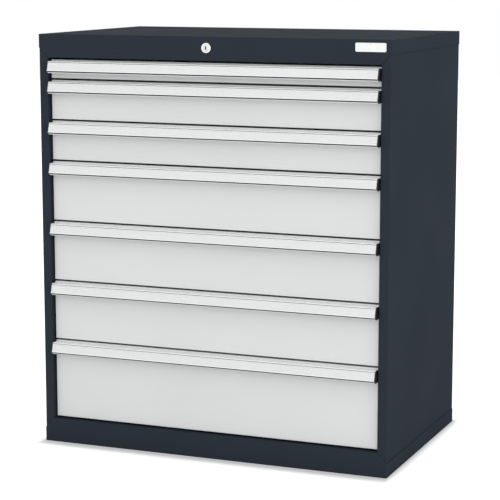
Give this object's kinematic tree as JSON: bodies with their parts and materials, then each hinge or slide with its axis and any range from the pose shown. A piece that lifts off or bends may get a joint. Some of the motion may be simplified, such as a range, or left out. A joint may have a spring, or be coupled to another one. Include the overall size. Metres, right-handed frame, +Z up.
{
  "type": "drawer cabinet",
  "caption": "Free-standing steel laboratory cabinet with seven full-extension drawers of five heights, full-width grips and a central lock.",
  "frame": {"origin": "on the floor, under the middle of the cabinet including its grips", "axes": "+X to the right as seen from the front, +Y from the drawer fronts to the back, +Z up"},
  "size_m": [0.902, 0.5832, 1.022],
  "materials": {
    "casing_paint": "fine textured powder coat, satin anthracite",
    "drawer_paint": "smooth powder coat, satin light grey",
    "grip_paint": "extruded and coated light grey, satin",
    "black_plastic": "moulded, matt black",
    "zinc_steel": "zinc plated, dull",
    "lock_chrome": "polished nickel and chrome plate"
  },
  "bodies": {
    "casing": {"top_cap": "casing_paint", "base_cap": "casing_paint", "left_side_panel": "casing_paint", "right_side_panel": "casing_paint", "back_panel": "casing_paint", "uprights": "casing_paint", "fixed_rails": "zinc_steel", "lock_housing": "lock_chrome", "lock_nut": "zinc_steel", "shaft_brackets": "zinc_steel", "lock_bar_guides": "black_plastic"},
    "lock_rotor": {"lock_cylinder": "lock_chrome", "lock_shaft": "zinc_steel"},
    "lock_riser": {"lock_bar": "zinc_steel"},
    "drawer_1": {"drawer_1_front": "drawer_paint", "drawer_1_tray": "zinc_steel", "drawer_1_grip": "grip_paint", "drawer_1_end_caps": "black_plastic", "drawer_1_rails": "zinc_steel"},
    "drawer_1_middle": {"drawer_1_mid_rails": "zinc_steel"},
    "drawer_2": {"drawer_2_front": "drawer_paint", "drawer_2_tray": "zinc_steel", "drawer_2_grip": "grip_paint", "drawer_2_end_caps": "black_plastic", "drawer_2_rails": "zinc_steel"},
    "drawer_2_middle": {"drawer_2_mid_rails": "zinc_steel"},
    "drawer_3": {"drawer_3_front": "drawer_paint", "drawer_3_tray": "zinc_steel", "drawer_3_grip": "grip_paint", "drawer_3_end_caps": "black_plastic", "drawer_3_rails": "zinc_steel"},
    "drawer_3_middle": {"drawer_3_mid_rails": "zinc_steel"},
    "drawer_4": {"drawer_4_front": "drawer_paint", "drawer_4_tray": "zinc_steel", "drawer_4_grip": "grip_paint", "drawer_4_end_caps": "black_plastic", "drawer_4_rails": "zinc_steel"},
    "drawer_4_middle": {"drawer_4_mid_rails": "zinc_steel"},
    "drawer_5": {"drawer_5_front": "drawer_paint", "drawer_5_tray": "zinc_steel", "drawer_5_grip": "grip_paint", "drawer_5_end_caps": "black_plastic", "drawer_5_rails": "zinc_steel"},
    "drawer_5_middle": {"drawer_5_mid_rails": "zinc_steel"},
    "drawer_6": {"drawer_6_front": "drawer_paint", "drawer_6_tray": "zinc_steel", "drawer_6_grip": "grip_paint", "drawer_6_end_caps": "black_plastic", "drawer_6_rails": "zinc_steel"},
    "drawer_6_middle": {"drawer_6_mid_rails": "zinc_steel"},
    "drawer_7": {"drawer_7_front": "drawer_paint", "drawer_7_tray": "zinc_steel", "drawer_7_grip": "grip_paint", "drawer_7_end_caps": "black_plastic", "drawer_7_rails": "zinc_steel"},
    "drawer_7_middle": {"drawer_7_mid_rails": "zinc_steel"}
  },
  "joints": [
    {"name": "lock_bar_lift", "type": "slide", "parent": "casing", "child": "lock_riser", "axis": [0, 0, 1], "range_m": [0, 0.0099]},
    {"name": "lock_turn", "type": "hinge", "parent": "casing", "child": "lock_rotor", "pos_m": [-0.0055, -0.2764, 0.9955], "axis": [0, -1, 0], "range_deg": [0, 90]},
    {"name": "drawer_1_slide", "type": "slide", "parent": "casing", "child": "drawer_1", "axis": [0, -1, 0], "range_m": [0, 0.5]},
    {"name": "drawer_1_middle_slide", "type": "slide", "parent": "casing", "child": "drawer_1_middle", "axis": [0, -1, 0], "range_m": [0, 0.25]},
    {"name": "drawer_2_slide", "type": "slide", "parent": "casing", "child": "drawer_2", "axis": [0, -1, 0], "range_m": [0, 0.5]},
    {"name": "drawer_2_middle_slide", "type": "slide", "parent": "casing", "child": "drawer_2_middle", "axis": [0, -1, 0], "range_m": [0, 0.25]},
    {"name": "drawer_3_slide", "type": "slide", "parent": "casing", "child": "drawer_3", "axis": [0, -1, 0], "range_m": [0, 0.5]},
    {"name": "drawer_3_middle_slide", "type": "slide", "parent": "casing", "child": "drawer_3_middle", "axis": [0, -1, 0], "range_m": [0, 0.25]},
    {"name": "drawer_4_slide", "type": "slide", "parent": "casing", "child": "drawer_4", "axis": [0, -1, 0], "range_m": [0, 0.5]},
    {"name": "drawer_4_middle_slide", "type": "slide", "parent": "casing", "child": "drawer_4_middle", "axis": [0, -1, 0], "range_m": [0, 0.25]},
    {"name": "drawer_5_slide", "type": "slide", "parent": "casing", "child": "drawer_5", "axis": [0, -1, 0], "range_m": [0, 0.5]},
    {"name": "drawer_5_middle_slide", "type": "slide", "parent": "casing", "child": "drawer_5_middle", "axis": [0, -1, 0], "range_m": [0, 0.25]},
    {"name": "drawer_6_slide", "type": "slide", "parent": "casing", "child": "drawer_6", "axis": [0, -1, 0], "range_m": [0, 0.5]},
    {"name": "drawer_6_middle_slide", "type": "slide", "parent": "casing", "child": "drawer_6_middle", "axis": [0, -1, 0], "range_m": [0, 0.25]},
    {"name": "drawer_7_slide", "type": "slide", "parent": "casing", "child": "drawer_7", "axis": [0, -1, 0], "range_m": [0, 0.5]},
    {"name": "drawer_7_middle_slide", "type": "slide", "parent": "casing", "child": "drawer_7_middle", "axis": [0, -1, 0], "range_m": [0, 0.25]}
  ],
  "couplings": [
    {"joint": "lock_turn", "follows": "lock_bar_lift", "rad_per_m": 158.6},
    {"joint": "drawer_1_middle_slide", "follows": "drawer_1_slide", "ratio": 0.5},
    {"joint": "drawer_2_middle_slide", "follows": "drawer_2_slide", "ratio": 0.5},
    {"joint": "drawer_3_middle_slide", "follows": "drawer_3_slide", "ratio": 0.5},
    {"joint": "drawer_4_middle_slide", "follows": "drawer_4_slide", "ratio": 0.5},
    {"joint": "drawer_5_middle_slide", "follows": "drawer_5_slide", "ratio": 0.5},
    {"joint": "drawer_6_middle_slide", "follows": "drawer_6_slide", "ratio": 0.5},
    {"joint": "drawer_7_middle_slide", "follows": "drawer_7_slide", "ratio": 0.5}
  ]
}
